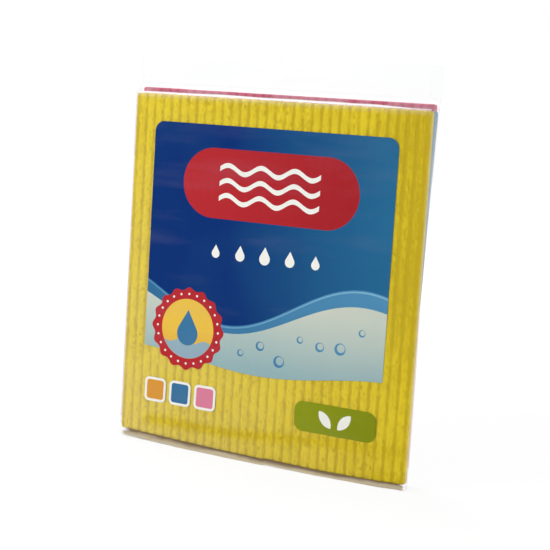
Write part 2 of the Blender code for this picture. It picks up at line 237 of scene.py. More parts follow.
# Painted shadow on the film folded under the cloths: dark at its top, paler towards the floor
FOLD_PAINTED_SHADOW = (0.19, 0.12, 0.05, 1)
FOLD_PAINTED_HALF_SHADOW = (0.50, 0.42, 0.28, 1)
FILM_TINT = (0.994, 0.995, 0.996, 1)
# White of the haze, and of the painted glare and painted reflection on the film
HAZE_AND_GLARE_WHITE = (0.9, 0.9, 0.9, 1)
PURE_WHITE = (1, 1, 1, 1)

# Sponge: scale, length, lowest and highest value of streaks, and scale, fewest and most of pores
RIB_BREAKS = (300.0, 3.0, 0.50, 0.94)
STREAKS = ((760.0, 1.6, -0.20, 0.22), (190.0, 1.2, -0.10, 0.12), (34.0, 1.0, -0.12, 0.12))
SMALL_PORES = (980.0, 0.44, 0.62)
LARGE_PORES = (430.0, 0.43, 0.56)
# Painted shade in the pores
PORE_SHADE = 0.75
# Painted shade at the film's creases and along the right edge of the front cloth
PAINTED_CREASE_AND_EDGE_SHADE = 0.36
RIB_LINE_SHADE = 0.26

# Film: the share that it mirrors head on, its haze and its roughness
CLEAR_FILM = (0.004, 0.095, 0.16)
SEAM_FILM = (0.03, 0.16, 0.20)
FLAP_FILM = (0.03, 0.14, 0.20)
BASE_FILM = (0.03, 0.10, 0.20)
# How fully the painted shadow covers the folded film
FOLD_SHADOW_COVER = 0.94

# Camera: the photo's viewing angle
CAMERA_AZIMUTH = radians(27.92)
CAMERA_ELEVATION = radians(7.17)
CAMERA_ROLL = radians(3.58)
CAMERA_DISTANCE = 0.7848
CAMERA_AIM = (0.0088, -0.0078, 0.1089)
CAMERA_LENS = 91.7

# Light
AMBIENT = 0.52
LAMP_AIM = (0.0, 0.0, 0.10)
LAMPS = (  # name, place, size and power
    ("key_lamp", (-0.56, -0.74, 0.46), 0.40, 4.5),
    ("top_lamp", (-0.40, 0.16, 1.00), 0.50, 5.0),
    ("side_lamp", (1.10, -0.20, 0.45), 0.60, 4.0),
)
FLOOR_SIZE = 6.0
FLOOR_COLOR = (0.88, 0.88, 0.88, 1)
FLOOR_SEEN = (0.14, 0.14, 0.14, 1)
FLOOR_GLOW = 0.86
FLOOR_GLOW_FAR = 1.0
FLOOR_FADE = (0.25, 0.80)


# Mesh helpers

def add_object(name, data):
    made = bpy.data.objects.new(name, data)
    bpy.context.scene.collection.objects.link(made)
    return made


def new_piece(name, points, faces, materials, indices=None):
    mesh = bpy.data.meshes.new(name)
    mesh.from_pydata([tuple(point) for point in points], [], faces)
    for material in materials:
        mesh.materials.append(material)
    if indices is not None:
        mesh.polygons.foreach_set("material_index", indices)
    mesh.polygons.foreach_set("use_smooth", [True] * len(mesh.polygons))
    mesh.update()
    return add_object(name, mesh)


def change_mesh(piece, change):
    shape = bmesh.new()
    shape.from_mesh(piece.data)
    change(shape)
    shape.to_mesh(piece.data)
    shape.free()


def face_outward(shape):
    bmesh.ops.recalc_face_normals(shape, faces=shape.faces)


def wander(x, z, scale, seed):
    """Smooth noise from -1 to 1 at each place, with a scale across and one up."""
    offset = Vector((seed, 2.7 * seed, 5.3 * seed))
    factors = Vector((scale[0], 1, scale[1]))
    return np.array([noise.noise(Vector((a, 0, b)) * factors + offset) for a, b in zip(x, z)])


def unit(values):
    """The values, held between 0 and 1."""
    return np.clip(values, 0, 1)


def ease(low, high, values):
    """0 below low, 1 above high, and a smooth rise between them."""
    share = unit((np.asarray(values, float) - low) / (high - low))
    return share * share * (3 - 2 * share)


def hill(values, middle, width):
    """1 at the middle, and less on both sides within about a width."""
    return np.exp(-((values - middle) / width) ** 2)


# Node helpers

def add_node(tree, kind, inputs=None, **settings):
    made = tree.nodes.new("ShaderNode" + kind)
    for name, value in settings.items():
        setattr(made, name, value)
    for name, value in (inputs or {}).items():
        if isinstance(value, bpy.types.NodeSocket):
            tree.links.new(value, made.inputs[name])
        else:
            made.inputs[name].default_value = value
    return made


def output(tree, kind, inputs=None, socket=0, **settings):
    """An output of a new node: the first one, unless a socket is named."""
    return add_node(tree, kind, inputs, **settings).outputs[socket]


def calc(tree, operation, *values):
    return output(tree, "Math", dict(enumerate(values)), operation=operation)


def blend_color(tree, share, first, second):
    return output(tree, "Mix", {0: share, 6: first, 7: second}, 2, data_type="RGBA")


def blend_shader(tree, share, first, second):
    return output(tree, "MixShader", {0: share, 1: first, 2: second})


def map_range(tree, value, low, high, first=0.0, second=1.0):
    inputs = {"Value": value, "From Min": low, "From Max": high, "To Min": first, "To Max": second}
    return output(tree, "MapRange", inputs, clamp=True)


def clamped(tree, value):
    return output(tree, "Clamp", {"Value": value})


def object_place(tree):
    return output(tree, "TexCoord", socket="Object")


def stretched(tree, place, scale):
    return output(tree, "Mapping", {"Vector": place, "Scale": scale})


def along(tree, place, axis):
    return output(tree, "SeparateXYZ", {0: place}, axis)


def noise_value(tree, place, scale, detail=3.0):
    return output(tree, "TexNoise", {"Vector": place, "Scale": scale, "Detail": detail})


def attribute(tree, name):
    return output(tree, "Attribute", socket="Fac", attribute_name=name)


def bumped(tree, height, strength, distance):
    return output(tree, "Bump", {"Strength": strength, "Distance": distance, "Height": height})


def ray_share(tree, *kinds):
    """1 for rays of the given kinds and 0 for all others."""
    path = add_node(tree, "LightPath").outputs
    share = path[kinds[0]]
    for kind in kinds[1:]:
        share = calc(tree, "MAXIMUM", share, path[kind])
    return share


def empty_material(name):
    material = bpy.data.materials.new(name)
    material.use_nodes = True
    material.node_tree.nodes.clear()
    return material, material.node_tree


def finished(material, shader):
    add_node(material.node_tree, "OutputMaterial", {"Surface": shader})
    return material


# Materials

def rib_shade(tree, place, lean):
    """1 in the middle of a groove, where shade is painted, and 0 on a rib, with a fainter line along the
    rib's middle.
    """
    across = calc(tree, "MULTIPLY_ADD", along(tree, place, 2), -lean, along(tree, place, 0))
    wave = calc(tree, "COSINE", calc(tree, "MULTIPLY", across, 2 * pi / RIB_PITCH))
    painted_groove_shade = calc(tree, "POWER", calc(tree, "MULTIPLY_ADD", wave, 0.5, 0.5), 1.7)
    lines = calc(tree, "POWER", calc(tree, "ABSOLUTE", wave), 4.0)
    return calc(tree, "MULTIPLY_ADD", lines, RIB_LINE_SHADE, painted_groove_shade)


def pore_shade(tree, place, scale, fewest, most):
    """1 in a pore, where shade is painted. The pores are longer than wide, and of uneven number."""
    inputs = {"Vector": stretched(tree, place, (1.0, 1.0, 0.62)), "Scale": scale}
    distance = output(tree, "TexVoronoi", inputs, "Distance")
    pores = map_range(tree, distance, 0.16, 0.42, 1.0, 0.0)
    patches = map_range(tree, noise_value(tree, place, 0.43 * scale), fewest, most)
    return calc(tree, "MULTIPLY", pores, patches)


def streak_value(tree, place, scale, length, low, high):
    """Uneven upright streaks, longer than wide by a factor."""
    upright = noise_value(tree, stretched(tree, place, (1.0, 1.0, 1 / length)), scale, 2.0)
    return map_range(tree, upright, 0.34, 0.66, low, high)


def sponge_material(name, crest, groove, lean):
    """Cellulose sponge: matt, ribbed, with fine pores and slightly uneven colour, and painted shade in its
    grooves and pores, and on the front cloth at the film's creases and along its right edge.
    """
    material, tree = empty_material(name)
    place = object_place(tree)
    broken = streak_value(tree, place, *RIB_BREAKS)
    # Painted shade in the grooves, uneven along them
    painted_groove_shade = calc(tree, "MULTIPLY", rib_shade(tree, place, lean), broken)
    small = pore_shade(tree, place, *SMALL_PORES)
    pores = calc(tree, "MAXIMUM", small, pore_shade(tree, place, *LARGE_PORES))
    fibres = noise_value(tree, stretched(tree, place, (1.0, 1.0, 0.30)), 1500.0, 4.0)
    # Painted shade in the pores and grooves, then the sponge's uneven tone
    depth = calc(tree, "MULTIPLY_ADD", pores, PORE_SHADE, painted_groove_shade)
    depth = calc(tree, "ADD", depth, map_range(tree, fibres, 0.35, 0.75, -0.20, 0.24))
    for streaks in STREAKS:
        depth = calc(tree, "ADD", depth, streak_value(tree, place, *streaks))
    # Painted shade at the film's creases and along the right edge of the front cloth
    depth = calc(tree, "MULTIPLY_ADD", attribute(tree, "pressed"), PAINTED_CREASE_AND_EDGE_SHADE, depth)
    height = calc(tree, "SUBTRACT", calc(tree, "MULTIPLY", fibres, 0.45), pores)
    inputs = {
        "Base Color": blend_color(tree, clamped(tree, depth), crest, groove), "Roughness": 0.92,
        "IOR": 1.35, "Normal": bumped(tree, height, 0.55, 0.00035),
        "Sheen Weight": 0.10, "Sheen Roughness": 0.6, "Sheen Tint": crest,
    }
    return finished(material, output(tree, "BsdfPrincipled", inputs))


def grazing_angle(tree):
    """0 where the film is seen head on, 1 where it is seen along its surface."""
    return output(tree, "LayerWeight", {"Blend": 0.5}, "Facing")


def glance(tree, straight):
    """The share of light that a film mirrors: little head on, more at a grazing angle."""
    grazing = calc(tree, "POWER", grazing_angle(tree), 4.0)
    return calc(tree, "MULTIPLY_ADD", grazing, attribute(tree, "shine"), straight)


def veil_amount(tree, haze):
    """The film's haze with its painted reflection and highlight, and the painted white glare of its bent
    parts where they are seen at an angle.
    """
    even = calc(tree, "MULTIPLY", attribute(tree, "veil"), haze)
    # Painted glare: white where the bent film is seen at a grazing angle
    painted_glare = map_range(tree, grazing_angle(tree), 0.42, 0.66, 0.0, 0.85)
    return calc(tree, "MULTIPLY_ADD", painted_glare, attribute(tree, "glare"), even)


def clear_shader(tree):
    return output(tree, "BsdfTransparent", {"Color": FILM_TINT})


def film_material(name, straight, haze, roughness, height=None):
    """Thin clear film: mostly see-through, with a little haze, white painted glare and reflection where its
    point values ask for them, and a gloss that grows at an angle.
    """
    material, tree = empty_material(name)
    normal = {}
    if height is not None:
        normal = {"Normal": bumped(tree, height(tree), 0.6, 0.0002)}
    veil = output(tree, "BsdfDiffuse", {"Color": HAZE_AND_GLARE_WHITE, **normal})
    gloss = output(tree, "BsdfAnisotropic", {"Color": PURE_WHITE, "Roughness": roughness, **normal})
    body = blend_shader(tree, veil_amount(tree, haze), clear_shader(tree), veil)
    return finished(material, blend_shader(tree, glance(tree, straight), body, gloss))


def crimp_lines(axis, pitch):
    """Fine parallel lines, as a heated bar leaves them in film."""
    def height(tree):
        turns = calc(tree, "MULTIPLY", along(tree, object_place(tree), axis), 2 * pi / pitch)
        return calc(tree, "MULTIPLY_ADD", calc(tree, "SINE", turns), 0.5, 0.5)
    return height


def folded_film_material():
    """Film folded under the cloths, with painted shadow: brown at its top, in the shade of the cloths, and
    paler beige towards the floor, a painted half shadow tinted by the yellow cloth.
    """
    material, tree = empty_material("folded_film_painted_shadow")
    uneven = streak_value(tree, stretched(tree, object_place(tree), (1, 1, 4)), 60.0, 1.0, -0.14, 0.14)
    share = map_range(tree, calc(tree, "ADD", attribute(tree, "rise"), uneven), 0.36, 0.74)
    # Painted shadow: brown at the top, paler beige lower down
    color = blend_color(tree, share, FOLD_PAINTED_HALF_SHADOW, FOLD_PAINTED_SHADOW)
    paint = output(tree, "BsdfPrincipled", {"Base Color": color, "Roughness": 0.6, "IOR": 1.06})
    amount = calc(tree, "MULTIPLY", attribute(tree, "fold"), FOLD_SHADOW_COVER)
    return finished(material, blend_shader(tree, amount, clear_shader(tree), paint))


def ink_material(name, first, second, axis=0, low=-PRINT_REACH, high=PRINT_REACH):
    """Ink under gloss film: one colour runs into another along an axis, with faint pale lilac streaks of
    painted reflection.
    """
    material, tree = empty_material(name)
    place = object_place(tree)
    cloud = map_range(tree, noise_value(tree, place, 18.0, 2.0), 0.3, 0.7, -0.10, 0.10)
    share = calc(tree, "ADD", map_range(tree, along(tree, place, axis), low, high), cloud)
    color = blend_color(tree, clamped(tree, share), first, second)
    # Painted reflection: faint pale lilac streaks
    level = noise_value(tree, stretched(tree, place, (0.3, 1.0, 1.6)), 60.0, 3.0)
    color = blend_color(tree, map_range(tree, level, 0.50, 0.72, 0.0, 0.05), color, PAINTED_GLOSS_LILAC)
    normal = bumped(tree, noise_value(tree, place, 2600.0, 2.0), 0.12, 0.0001)
    inputs = {"Base Color": color, "Roughness": 0.20, "IOR": 1.14, "Normal": normal}
    return finished(material, output(tree, "BsdfPrincipled", inputs))


def new_inks():
    badge_bottom = BADGE_LEVEL - BADGE_RADIUS
    rows = {
        "ink_navy": (NAVY, NAVY_LIGHT, 0, -0.3 * PRINT_REACH, 1.05 * PRINT_REACH),
        "ink_blue": (MID_BLUE, MID_BLUE_LIGHT),
        "ink_glow": (MID_BLUE_LIGHT, GLOW_BLUE),
        "ink_aqua": (AQUA, AQUA_LIGHT, 2, WAVE_LEVEL - STRIPE_WIDTH - POOL_DEPTH, WAVE_LEVEL),
        "ink_red": (RED, RED_DARK),
        "ink_green": (GREEN, GREEN_DARK, 0, 0.2 * PRINT_REACH),
        "ink_white": (WHITE, WHITE),
        "ink_yellow": (SUN_ORANGE, SUN_YELLOW, 2, badge_bottom, BADGE_LEVEL),
        "ink_water": (WATER, AQUA, 2, badge_bottom, BADGE_LEVEL),
        "ink_rose": (ROSE, ROSE),
    }
    return {name: ink_material(name, *row) for name, row in rows.items()}


# Cloths

def groove(x, depth):
    phase = 0.5 + 0.5 * np.cos(2 * pi * x / RIB_PITCH)
    return depth * phase ** 2


def edged(inner, half):
    """Even places with a few closer ones towards both cut edges."""
    close = [half - share * EDGE_ROUNDING for share in EDGE_SHARES]
    inner = [value for value in inner if abs(value) < half - 1.2 * EDGE_ROUNDING]
    return np.array([-value for value in close] + inner + close[::-1])


def cloth_grid(points_per_rib, row_step):
    """Places on the cloth's plan, pulled in at its rounded corners."""
    half_width = CLOTH_WIDTH / 2
    half_height = CLOTH_HEIGHT / 2
    radius = CLOTH_CORNER_RADIUS
    ribs = int(CLOTH_WIDTH / RIB_PITCH)
    reach = ribs * RIB_PITCH / 2
    across = edged(list(np.linspace(-reach, reach, ribs * points_per_rib + 1)), half_width)
    up = edged(list(np.arange(-half_height, half_height, row_step)), half_height)
    x, z = np.meshgrid(across, up)
    into_corner = np.clip(np.abs(z) - (half_height - radius), 0, radius)
    lost = radius - np.sqrt(radius ** 2 - into_corner ** 2)
    start = half_width - 2 * radius
    beyond = np.clip(np.abs(x) - start, 0, None)
    pulled = start + beyond * (half_width - lost - start) / (half_width - start)
    x = np.where(np.abs(x) > start, np.sign(x) * pulled, x)
    margin = np.minimum(half_width - lost - np.abs(x), half_height - np.abs(z))
    return x, z, margin


def cloth_face(x, z, margin, side, depth, seed):
    """Heights of one face: ribs, a rounded rim and a little unevenness."""
    bare = np.clip(margin, 0, EDGE_ROUNDING) - EDGE_ROUNDING
    rounding = EDGE_ROUNDING - np.sqrt(EDGE_ROUNDING ** 2 - bare ** 2)
    across, up = x.ravel(), z.ravel()
    uneven = wander(across, up, (60, 60), seed) + 0.6 * wander(across, up, (260, 120), seed + 1)
    inset = groove(x, depth) + rounding + SURFACE_ROUGHNESS * np.abs(uneven.reshape(x.shape))
    return side * (CLOTH_THICKNESS / 2 - inset)


def border(rows, columns):
    """The grid's outer places in order, as pairs of row and column."""
    low = [(0, column) for column in range(columns - 1)]
    right = [(row, columns - 1) for row in range(rows - 1)]
    high = [(rows - 1, column) for column in range(columns - 1, 0, -1)]
    left = [(row, 0) for row in range(rows - 1, 0, -1)]
    return low + right + high + left


def grid_faces(rows, columns, start):
    places = [(row, column) for row in range(rows - 1) for column in range(columns - 1)]
    corners = [start + row * columns + column for row, column in places]
    return [(corner, corner + 1, corner + columns + 1, corner + columns) for corner in corners]


def rim_points(front, back, outline, seed):
    """Places between the two faces along the cut edge, which is slightly ragged."""
    points = []
    for share in [step / RIM_STEPS for step in range(1, RIM_STEPS)]:
        for row, column in outline:
            place = front[row, column] * (1 - share) + back[row, column] * share
            ragged = noise.noise(Vector(place) * 700 + Vector((seed, 0, 0)))
            outward = Vector((place[0], 0, place[2])).normalized()
            points.append(Vector(place) + outward * EDGE_ROUGHNESS * ragged)
    return points


def rim_faces(outline, columns, back_start, rim_start):
    count = len(outline)
    rings = [[row * columns + column for row, column in outline]]
    for step in range(RIM_STEPS - 1):
        rings.append([rim_start + step * count + index for index in range(count)])
    rings.append([back_start + row * columns + column for row, column in outline])
    sides = [(index, (index + 1) % count) for index in range(count)]
    pairs = [(near, far, *side) for near, far in zip(rings, rings[1:]) for side in sides]
    return [(near[one], near[two], far[two], far[one]) for near, far, one, two in pairs]


def edge_drop(x):
    """How far the lower edge of the front cloth hangs down, along its width."""
    share = np.clip(2 * x / CLOTH_WIDTH, -1, 1)
    bow = YELLOW_SAG * (1 - share ** 2) * (1 + YELLOW_SAG_SKEW * share)
    past = unit((x - NOTCH_PLACE) / NOTCH_RUN)
    step = NOTCH_STEP * ease(-0.002, 0.001, x - NOTCH_PLACE) * (1 - past)
    slope = YELLOW_DROP_LEFT + (YELLOW_DROP_RIGHT - YELLOW_DROP_LEFT) * (1 + share) / 2
    return bow + slope - step


def sag(x, z):
    """How far the front cloth is drawn down at each place: fully at its lower edge, less above."""
    return edge_drop(x) * (1 - ease(-CLOTH_HEIGHT / 2, SAG_HEIGHT - CLOTH_HEIGHT / 2, z))


def add_cloth(name, material, place, lean, hang, grid, seed):
    x, z, margin = cloth_grid(*grid)
    rows, columns = x.shape
    leaning = x + lean * z
    hanging = z - hang * sag(x, z)
    front = np.stack([leaning, cloth_face(x, z, margin, -1, RIB_DEPTH, seed), hanging], 2)
    back = np.stack([leaning, cloth_face(x, z, margin, 1, BACK_RIB_DEPTH, seed + 2), hanging], 2)
    outline = border(rows, columns)
    points = list(front.reshape(-1, 3)) + list(back.reshape(-1, 3)) + rim_points(front, back, outline, seed)
    faces = grid_faces(rows, columns, 0) + grid_faces(rows, columns, rows * columns)
    faces += rim_faces(outline, columns, rows * columns, 2 * rows * columns)
    cloth = new_piece(name, points, faces, [material])
    places = np.array([tuple(point) for point in points])
    # Painted shade at the film's creases and along the right edge, on the front cloth only
    pressed = pressed_share(places[:, 0] + place[0], places[:, 2] + place[2])
    add_values(cloth, pressed=hang * pressed)
    change_mesh(cloth, face_outward)
    cloth.location = place
    return cloth


def add_cloths():
    level = CLOTH_BOTTOM + CLOTH_HEIGHT / 2
    step = CLOTH_THICKNESS + CLOTH_GAP
    blue_x = YELLOW_X - BLUE_LEAN * CLOTH_HEIGHT / 2
    pink_x = YELLOW_X - (PINK_SHIFT + PINK_REACH) / 2
    rows = (
        ("yellow", YELLOW_CREST, YELLOW_SHADED, (YELLOW_X, level), 0, 1, FINE_GRID),
        ("blue", BLUE_CREST, BLUE_SHADED, (blue_x, level), BLUE_LEAN, 0, COARSE_GRID),
        ("pink", PINK_CREST, PINK_SHADED, (pink_x, level + PINK_RAISE), PINK_LEAN, 0, FINE_GRID),
    )
    for layer, (color, crest, dark, (x, z), lean, hang, grid) in enumerate(rows):
        material = sponge_material("sponge_" + color, crest, dark, lean)
        place = (x, FRONT_CLOTH_Y + layer * step, z)
        cloth = add_cloth("sponge_cloth_" + color, material, place, lean, hang, grid, 3.0 + layer)
        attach(cloth, "root")
        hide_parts("cloth_" + color)


# Film: the sleeve is drawn flat as (u, z), with u along its girth, and then wrapped round the cloths

FRONT_Y = FRONT_CLOTH_Y - CLOTH_THICKNESS / 2 - FILM_CLEARANCE
BACK_Y = -FRONT_Y
FRONT_LEFT = YELLOW_X - CLOTH_WIDTH / 2 - FILM_CLEARANCE + FILM_CORNER_RADIUS
FRONT_RIGHT = YELLOW_X + CLOTH_WIDTH / 2 + FILM_CLEARANCE - FILM_CORNER_RADIUS
CORNER_RUN = pi / 2 * FILM_CORNER_RADIUS
SIDE_RUN = BACK_Y - FRONT_Y - 2 * FILM_CORNER_RADIUS + 2 * CORNER_RUN
BACK_RUN = FRONT_RIGHT - FRONT_LEFT
HEADER_Y = FRONT_CLOTH_Y + 2 * (CLOTH_THICKNESS + CLOTH_GAP)
FRONT_PROFILE = (
    (0, FRONT_Y), (CLOTH_TOP - 0.0004, FRONT_Y), (CLOTH_TOP, FRONT_Y + 0.0002),
    (CLOTH_TOP + 0.0003, FRONT_Y + 0.0006), (PINK_TOP + 0.0002, 0.0024), (PINK_TOP + 0.0006, 0.0031),
    (HEADER_BASE, HEADER_Y - HEADER_SPACING / 2), (HEADER_TOP, HEADER_Y - HEADER_SPACING / 2),
)
BACK_PROFILE = (
    (0, BACK_Y - BACK_FOOT_INSET), (0.0020, BACK_Y - 0.0011), (0.0038, BACK_Y - 0.0003), (0.0054, BACK_Y),
    (PINK_TOP - 0.0006, BACK_Y), (PINK_TOP, BACK_Y - 0.0005),
    (HEADER_BASE, HEADER_Y + HEADER_SPACING / 2), (HEADER_TOP, HEADER_Y + HEADER_SPACING / 2),
)


def on_front(u):
    return (u > FRONT_LEFT) & (u < FRONT_RIGHT)


def on_back(u):
    return (u < FRONT_LEFT - SIDE_RUN) | (u > FRONT_RIGHT + SIDE_RUN)


def fold_level(u):
    """The height at which the folded film begins, just over the rounded edge of the front cloth."""
    return CLOTH_BOTTOM - edge_drop(u - YELLOW_X) + FOLD_OVERLAP


def foot_shape(u, z):
    """The folded film tucks in under the cloth, and spreads towards the floor in the middle."""
    down = unit(1 - z / fold_level(u))
    middle = 1 - np.clip(2 * (u - YELLOW_X) / CLOTH_WIDTH, -1, 1) ** 2
    tuck = FOOT_TUCK * np.sin(pi * unit(1.4 * down))
    return tuck + down ** 1.5 * (FOOT_INSET - (FOOT_INSET + FOOT_SPREAD) * middle)


def side_reach(y, z, side):
    """How far the cloths hold the film out to one side, at a depth and a height."""
    drop = np.clip(CLOTH_TOP - z, 0, CLOTH_HEIGHT)
    yellow = CLOTH_WIDTH / 2 + side * YELLOW_X
    pink = yellow - side * (PINK_SHIFT + PINK_LEAN * drop)
    blue = np.maximum(yellow - side * BLUE_LEAN * drop, (yellow + pink) / 2)
    edge = CLOTH_THICKNESS / 2
    to_blue = unit((y + edge) / (2 * edge))
    to_pink = unit((y - edge) / CLOTH_THICKNESS)
    if side < 0:
        to_blue = unit((y - FRONT_Y) / CLOTH_THICKNESS)
        to_pink = unit((y + edge) / CLOTH_THICKNESS)
    reach = yellow + (blue - yellow) * to_blue + (pink - blue) * to_pink + FILM_CLEARANCE
    upper = ease(SHOULDER_HEIGHT, HEADER_BASE, z)
    return reach + (HEADER_HALF_WIDTH - reach) * upper


def wrap_side(v, z, front, back, side):
    """The side of the sleeve: a corner arc, a flat run and another arc, for v from 0 to 1."""
    depth = back - front
    radius = np.minimum(FILM_CORNER_RADIUS, 0.49 * depth)
    corner = CORNER_RUN / SIDE_RUN
    near = unit(v / corner) * pi / 2
    far = unit((1 - v) / corner) * pi / 2
    flat = unit((v - corner) / (1 - 2 * corner))
    y = front + radius * (1 - np.cos(near)) + flat * (depth - 2 * radius) + radius * np.cos(far)
    inset = radius * (2 - np.sin(near) - np.sin(far))
    tuck = TUCK_DEPTH * ease(TUCK_START, HEADER_BASE, z) * (1 - np.abs(2 * v - 1))
    return side * (side_reach(y, z, side) - inset - tuck), y


def wrap_film(u, z):
    """Places on the sleeve and the outward direction at each, for flat places (u, z)."""
    front = np.interp(z, *zip(*FRONT_PROFILE)) + foot_shape(u, z)
    back = np.interp(z, *zip(*BACK_PROFILE))
    right, _ = wrap_side(0, z, front, back, 1)
    left, _ = wrap_side(0, z, front, back, -1)
    x = left + (right - left) * (u - FRONT_LEFT) / (FRONT_RIGHT - FRONT_LEFT)
    y = np.array(front)
    out_x = np.zeros(len(u))
    out_y = -np.ones(len(u))
    for side, start in ((1, FRONT_RIGHT), (-1, FRONT_LEFT)):
        run = side * (u - start)
        on_side = (run > 0) & (run <= SIDE_RUN)
        v = unit(run / SIDE_RUN)
        side_x, side_y = wrap_side(v, z, front, back, side)
        x[on_side] = side_x[on_side]
        y[on_side] = side_y[on_side]
        out_x[on_side] = side * np.sin(pi * v[on_side])
        out_y[on_side] = -np.cos(pi * v[on_side])
        behind = run > SIDE_RUN
        share = unit((run - SIDE_RUN) / (BACK_RUN / 2))
        edge_x, _ = wrap_side(1, z, front, back, side)
        x[behind] = (edge_x * (1 - share))[behind]
        y[behind] = back[behind]
        out_y[behind] = 1
    return x, y, out_x, out_y


def film_relief(u, x, z):
    """How far the film stands off its plain shape: dips between ribs, wrinkles and creases."""
    rib_x = np.where(on_back(u), x - YELLOW_X + PINK_SHIFT, x - YELLOW_X)
    flat = on_front(u) | on_back(u)
    body = 1 - ease(CLOTH_TOP - 0.004, CLOTH_TOP, z)
    edge = unit((CLOTH_WIDTH / 2 - 0.001 - np.abs(x - YELLOW_X)) / RELIEF_FADE)
    fade = body * edge * unit((z - FOOT_HEIGHT) / RELIEF_FADE) * flat
    slack = 0.75 + 0.5 * wander(u, z, (16, 16), 11.0)
    dips = -groove(rib_x, FILM_RIB_DIP) * slack
    wrinkles = wander(u, z, (17, 105), 21.0) + 0.5 * wander(u, z, (70, 40), 22.0)
    body_relief = fade * (dips + FILM_WRINKLE * wrinkles - CREASE_DEPTH * crease_share(x, z))
    upper = ease(CLOTH_TOP, HEADER_BASE, z)
    shoulder = upper * (1 - upper) * SHOULDER_CRUMPLE * wander(u, z, (60, 60), 23.0)
    foot = unit(1 - z / FOOT_HEIGHT) * FOOT_CRUMPLE * wander(u, z, (130, 300), 24.0)
    return body_relief + shoulder + foot


def header_sway(x, z):
    """The free header waves a little, and is crumpled near the middle of its lower edge."""
    upper = ease(HEADER_BASE - 0.002, HEADER_TOP, z)
    broad = wander(x, z, (22, 40), 31.0)
    middle = hill(x, CRUMPLE_PLACE, CRUMPLE_WIDTH) * ease(PINK_TOP, HEADER_BASE + 0.001, z)
    crumple = wander(x, z, (190, 240), 32.0) * middle
    return HEADER_CRUMPLE * (upper * 1.6 * broad + 0.55 * crumple)


def crease_share(x, z):
    """1 in the shallow creases low on the front, where the film touches the cloth."""
    across = x - YELLOW_X
    rise = z - CLOTH_BOTTOM
    long_level = LONG_CREASE_LEVEL + LONG_CREASE_RISE * ease(-0.03, 0.07, across)
    long = hill(rise, long_level, CREASE_WIDTH) * ease(-0.080, -0.070, across)
    corner = hill(rise, 0, CORNER_CREASE_WIDTH) * ease(0.068, 0.080, across)
    short_level = SHORT_CREASE_LEVEL - SHORT_CREASE_SLOPE * (across - SHORT_CREASE_PLACE)
    short = hill(rise, short_level, SHORT_CREASE_WIDTH)
    short = short * hill(across, SHORT_CREASE_PLACE, SHORT_CREASE_LENGTH)
    return unit(long + corner + 0.6 * short)


def pressed_share(x, z):
    """Painted shade on the front cloth: at the creases where the film is pressed on it, and along the right
    edge.
    """
    right = ease(0.055, 0.088, x - YELLOW_X)
    above = ease(0.035, 0.085, z - CLOTH_BOTTOM)
    return crease_share(x, z) + 1.5 * right * above


def shoulder_glare(x, z):
    """The white line of light on the bent film above the front cloth, narrow towards the left end."""
    from_left = x - YELLOW_X + CLOTH_WIDTH / 2
    height = GLARE_LOW + (GLARE_HIGH - GLARE_LOW) * ease(0.012, 0.055, from_left)
    height = height + GLARE_WAVE * wander(x, 0 * x, (70, 1), 51.0)
    height = height * (1 - 0.55 * ease(0.150, 0.178, from_left))
    low = ease(CLOTH_TOP - 0.0002, CLOTH_TOP + 0.0002, z)
    return low * (1 - ease(CLOTH_TOP + height - 0.0002, CLOTH_TOP + height + 0.0003, z))


def film_veil(u, x, z):
    """Haze of the film, less where the film touches the cloth, with painted reflection that whitens it
    towards the lower left and a painted highlight along the top rim of the front cloth.
    """
    clouds = 0.5 + 0.5 * wander(u, z, (45, 30), 41.0)
    left = unit(0.5 - (x - YELLOW_X) / CLOTH_WIDTH)
    low = 1 - unit(z / CLOTH_HEIGHT)
    # Painted reflection of the light: whiter towards the left, and most towards the lower left
    amount = EVEN_VEIL + LEFT_PAINTED_REFLECTION * left ** 1.5 + LOW_LEFT_PAINTED_REFLECTION * left * low
    amount = amount * (0.7 + 0.6 * clouds) * (1 - 0.9 * crease_share(x, z))
    # Painted highlight along the top rim of the front cloth
    rim = ease(CLOTH_TOP - 0.0026, CLOTH_TOP - 0.0006, z) * (z < CLOTH_TOP)
    amount = np.where(on_front(u), amount + RIM_PAINTED_HIGHLIGHT * rim, BACK_VEIL)
    amount = np.where(z > HEADER_BASE, HEADER_VEIL, amount)
    return np.where(on_back(u) & (z < CLOTH_BOTTOM), BACK_FOLD_VEIL, amount)


def end_rise(distance, rise, run):
    return rise * unit(1 - distance / run)


def fold_veil(u, z):
    """The painted shadow on the folded film thins out towards both ends, and steps up where one fold ends
    near the middle.
    """
    from_left = u - FRONT_LEFT
    from_right = FRONT_RIGHT - u
    ends = ease(0.001, 0.007, from_left) * ease(0.0005, 0.003, from_right)
    low_ends = ease(0.0, 0.0030, from_left) * ease(0.0, 0.0010, from_right)
    bare = end_rise(from_left, *FOLD_END_LEFT) + end_rise(from_right, *FOLD_END_RIGHT)
    beyond = u - YELLOW_X - NOTCH_PLACE
    bare = np.maximum(bare, end_rise(beyond, NOTCH_RISE, NOTCH_RUN) * (beyond > 0))
    above_floor = ease(-0.0006, 0.0, z - bare)
    return np.where(z > 0.0032, ends, low_ends) * above_floor


def film_shine(u, z):
    """How strongly the film mirrors at a grazing angle, which differs from place to place."""
    double = 1 - 0.8 * ease(PINK_TOP, HEADER_BASE, z)
    sloping = ease(CLOTH_TOP + 0.0010, CLOTH_TOP + 0.0018, z)
    patches = ease(-0.05, 0.20, wander(u, z, (75, 75), 61.0))
    above_fold = ease(0, 0.0015, z - fold_level(u))
    return double * (1 - sloping * (0.35 + 0.45 * patches)) * (0.15 + 0.85 * above_fold)


# Print outlines, in X and Z as seen from the front

def around(center, radius, angle):
    return (center[0] + radius * cos(angle), center[1] + radius * sin(angle))


